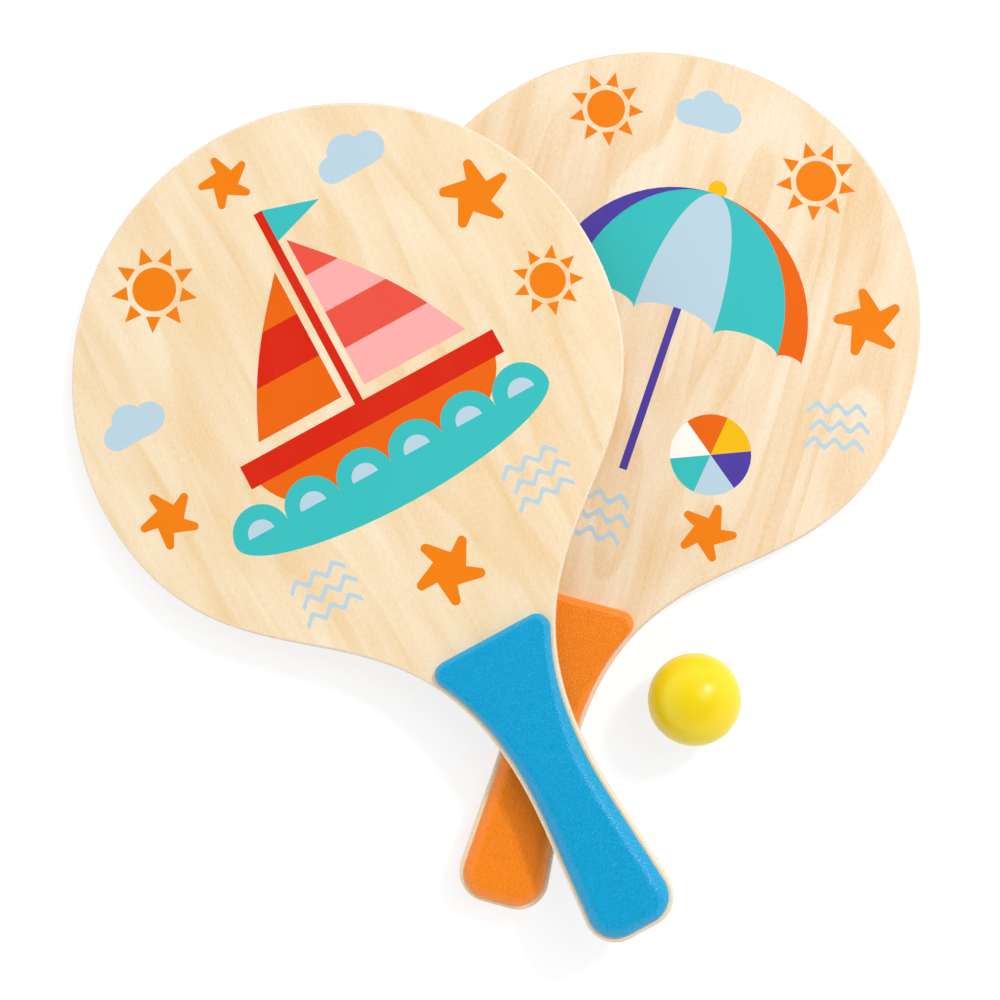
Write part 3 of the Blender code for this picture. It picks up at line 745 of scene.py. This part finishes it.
# Ball
# A 40 mm ball moulded in solid yellow rubber, loose beside the paddles. The two halves of the mould leave a
# smooth skin and a fine raised line round the ball, which lies nearly level.

BALL_SEAM_HALF_WIDTH = 0.00025
BALL_SEAM_HEIGHT = 0.00010
BALL_SEAM_TILT = math.radians(7)
BALL_SEAM_TILT_AXIS = Vector((1, 0.6, 0))

low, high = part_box("ball")
ball_radius = (high.z - low.z) / 2
mesh = bmesh.new()
bmesh.ops.create_uvsphere(mesh, u_segments=128, v_segments=64, radius=ball_radius)
for height in (-BALL_SEAM_HALF_WIDTH, BALL_SEAM_HALF_WIDTH):
    bmesh.ops.bisect_plane(mesh, geom=[*mesh.verts, *mesh.edges, *mesh.faces], dist=WELD,
                           plane_co=(0, 0, height), plane_no=(0, 0, 1))
for vert in mesh.verts:
    if abs(vert.co.z) < WELD:
        vert.co *= 1 + BALL_SEAM_HEIGHT / ball_radius
for face in mesh.faces:
    face.smooth = True

# Counts to a metre of the faint clouds in the rubber, 11 mm wide, and of the grain of its skin, 0.4 mm
BALL_CLOUDS = 90.0
BALL_GRAIN = 2500.0

# Rubber with a soft broad shine. Light goes a little way in, which evens out the shade on the far side.
rubber, tree, shader = new_material("yellow_moulded_rubber")
place = node(tree, "ShaderNodeTexCoord").outputs["Object"]
cloud = node(tree, "ShaderNodeTexNoise", {
    "Vector": place, "Scale": BALL_CLOUDS, "Detail": 2.0}).outputs["Fac"]
tint = node(tree, "ShaderNodeMix", {0: cloud, 6: linear("#EED60C"), 7: linear("#EACF08")},
            data_type="RGBA")
tree.links.new(tint.outputs[2], shader.inputs["Base Color"])
fine = node(tree, "ShaderNodeTexNoise", {
    "Vector": place, "Scale": BALL_GRAIN, "Detail": 2.0}).outputs["Fac"]
gloss = node(tree, "ShaderNodeMapRange", {"Value": fine, "To Min": 0.25, "To Max": 0.31}).outputs[0]
tree.links.new(gloss, shader.inputs["Roughness"])
relief = node(tree, "ShaderNodeBump", {"Height": fine, "Strength": 0.3, "Distance": 0.01 * MILLIMETRE})
tree.links.new(relief.outputs["Normal"], shader.inputs["Normal"])
shader.inputs["Specular IOR Level"].default_value = 0.36
shader.inputs["Subsurface Weight"].default_value = 0.6
shader.inputs["Subsurface Radius"].default_value = (1.0, 0.8, 0.05)
shader.inputs["Subsurface Scale"].default_value = 0.015

tilt = Matrix.Rotation(BALL_SEAM_TILT, 4, BALL_SEAM_TILT_AXIS)
ball_lay = Matrix.Translation((low + high) / 2) @ tilt
ball = shown("ball_with_seam", mesh, ball_lay, [rubber], "ball")


# Table, light and camera
# The set lies on a white table under a soft white tent, brighter round the sides than overhead, with a
# small bright lamp and a broad soft one to the right. The camera looks straight down from a metre above.

bpy.context.scene.view_settings.view_transform = "Standard"

TABLE_HALF_WIDTH = 15.0

# White of the table for the light, and its white and its own glow for the camera
TABLE_WHITE = 0.90
TABLE_SEEN = 0.33
TABLE_LIFT = 0.735

mesh = bmesh.new()
bmesh.ops.create_grid(mesh, x_segments=1, y_segments=1, size=TABLE_HALF_WIDTH)
data = bpy.data.meshes.new("table")
mesh.to_mesh(data)
mesh.free()
table = bpy.data.objects.new("table", data)
bpy.context.scene.collection.objects.link(table)

# White card. What the camera sees of it is lifted close to white, and soft shadows stay.
card, tree, shader = new_material("white_card")
tree.nodes.remove(shader)
output = tree.nodes["Material Output"]
rays = node(tree, "ShaderNodeLightPath").outputs
seen = rays["Is Camera Ray"]
for other in ("Is Glossy Ray", "Is Transmission Ray"):
    seen = node(tree, "ShaderNodeMath", {0: seen, 1: rays[other]}, operation="MAXIMUM").outputs[0]
grey = node(tree, "ShaderNodeMix", {0: seen, 2: TABLE_WHITE, 3: TABLE_SEEN}).outputs[0]
diffuse = node(tree, "ShaderNodeBsdfDiffuse", {"Color": grey})
lift = node(tree, "ShaderNodeMath", {0: seen, 1: TABLE_LIFT}, operation="MULTIPLY").outputs[0]
glow = node(tree, "ShaderNodeEmission", {"Strength": lift})
both = node(tree, "ShaderNodeAddShader", {0: diffuse.outputs[0], 1: glow.outputs[0]})
tree.links.new(both.outputs[0], output.inputs["Surface"])
data.materials.append(card)

# Strength of the tent's sides and of its top, and how much stronger its left side is
RING_STRENGTH = 1.62
OVERHEAD_STRENGTH = 0.25
LEFT_SHARE = 0.15

# Shares of the way up at which the tent's sides end and its top begins
RING_UNTIL = 0.05
OVERHEAD_FROM = 0.95

world = bpy.data.worlds.new("white_tent")
bpy.context.scene.world = world
world.use_nodes = True
tree = world.node_tree
way = node(tree, "ShaderNodeTexCoord").outputs["Generated"]
height = node(tree, "ShaderNodeSeparateXYZ", {0: way}).outputs["Z"]
ring = node(tree, "ShaderNodeMapRange", {
    "Value": height, "From Min": RING_UNTIL, "From Max": OVERHEAD_FROM,
    "To Min": RING_STRENGTH, "To Max": OVERHEAD_STRENGTH}, interpolation_type="SMOOTHSTEP").outputs[0]
side = node(tree, "ShaderNodeVectorMath", {0: way, 1: (-1, 0, 0)}, operation="DOT_PRODUCT").outputs["Value"]
side = node(tree, "ShaderNodeMath", {0: side, 1: LEFT_SHARE, 2: 1.0}, operation="MULTIPLY_ADD").outputs[0]
strength = node(tree, "ShaderNodeMath", {0: ring, 1: side}, operation="MULTIPLY").outputs[0]
tree.links.new(strength, tree.nodes["Background"].inputs["Strength"])
tree.nodes["Background"].inputs["Color"].default_value = (1, 1, 1, 1)

LAMP_DISTANCE = 4.0

# Direction, width in metres and power in watts of each lamp
LAMPS = {
    "small_lamp": (Vector((0.515, 0.465, 0.720)), 0.52, 56.0),
    "broad_lamp": (Vector((0.360, 0.340, 0.870)), 2.4, 35.0),
}

for name, (towards, width, power) in LAMPS.items():
    lamp = bpy.data.lights.new(name, "AREA")
    lamp.shape = "DISK"
    lamp.size = width
    lamp.energy = power
    lamp_object = bpy.data.objects.new(name, lamp)
    lamp_object.location = towards.normalized() * LAMP_DISTANCE
    lamp_object.rotation_euler = towards.to_track_quat("Z", "Y").to_euler()
    bpy.context.scene.collection.objects.link(lamp_object)

# A long lens, hung nearly over the middle of the set
camera = bpy.data.cameras.new("camera")
camera.sensor_width = 36.0
camera.lens = 81.87
camera_object = bpy.data.objects.new("camera", camera)
camera_object.location = (0.0016, -0.0043, 1.0)
bpy.context.scene.collection.objects.link(camera_object)
bpy.context.scene.camera = camera_object
